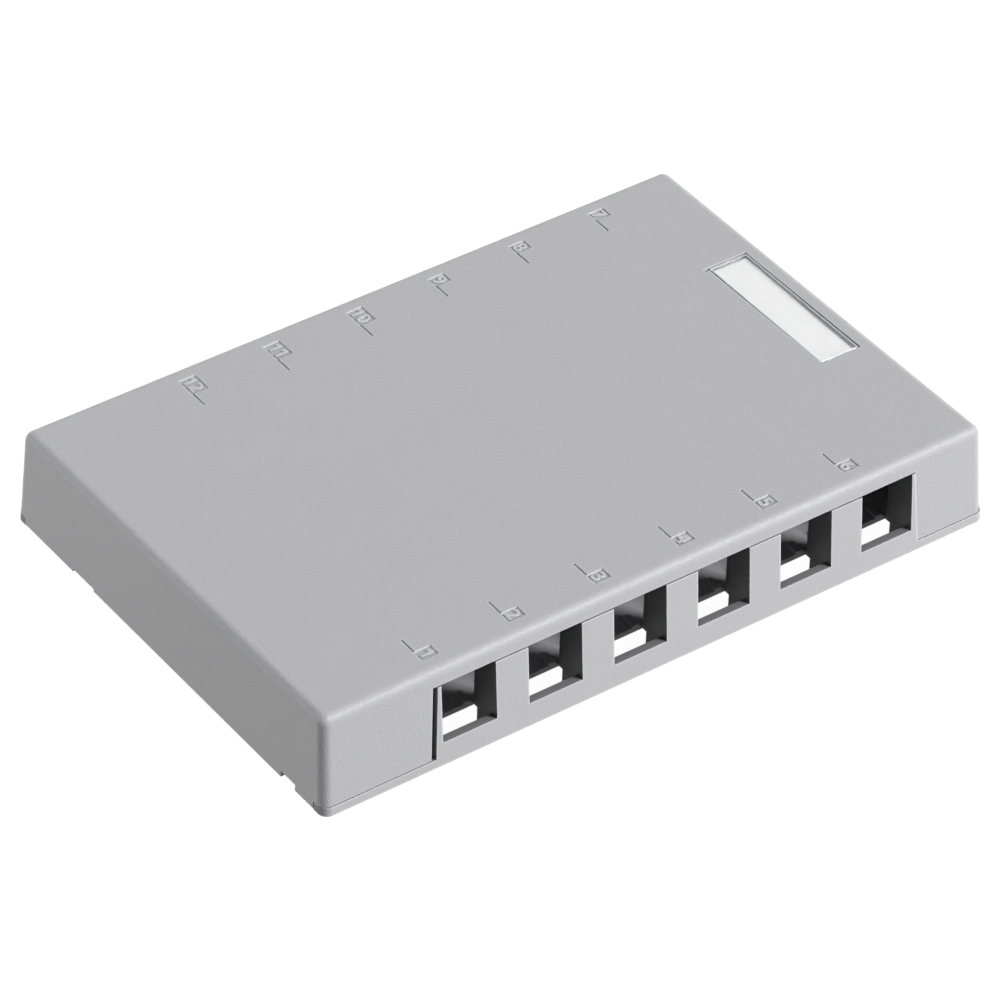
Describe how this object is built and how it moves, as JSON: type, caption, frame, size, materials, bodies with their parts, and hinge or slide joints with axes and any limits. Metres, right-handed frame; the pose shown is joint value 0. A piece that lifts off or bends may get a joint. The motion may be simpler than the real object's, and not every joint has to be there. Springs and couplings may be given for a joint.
{
  "type": "surface mount jack box",
  "caption": "Low two-piece box for snap-in cable jacks: drafted cover with numbered ports along both long sides, label window, and a base with open port strips.",
  "frame": {"origin": "middle of the cover's footprint, in the plane the base rests on", "axes": "+Z away from the wall or table, X along the port rows with port 1 at -X, -Y towards the first row of ports"},
  "size_m": [0.1864, 0.1266, 0.0263],
  "materials": {
    "base_plastic": "grey ABS, fine texture",
    "cover_plastic": "grey ABS, fine texture",
    "clear_plastic": "clear polycarbonate",
    "paper": "white paper card"
  },
  "bodies": {
    "base": {"base": "base_plastic"},
    "cover": {"cover": "cover_plastic", "label_card": "paper"},
    "label_window": {"label_window": "clear_plastic"}
  },
  "joints": [
    {"name": "cover_lift", "type": "slide", "parent": "base", "child": "cover", "axis": [0, 0, 1], "range_m": [0, 0.035]},
    {"name": "window_lift", "type": "slide", "parent": "cover", "child": "label_window", "axis": [0, 0, 1], "range_m": [0, 0.006]}
  ]
}
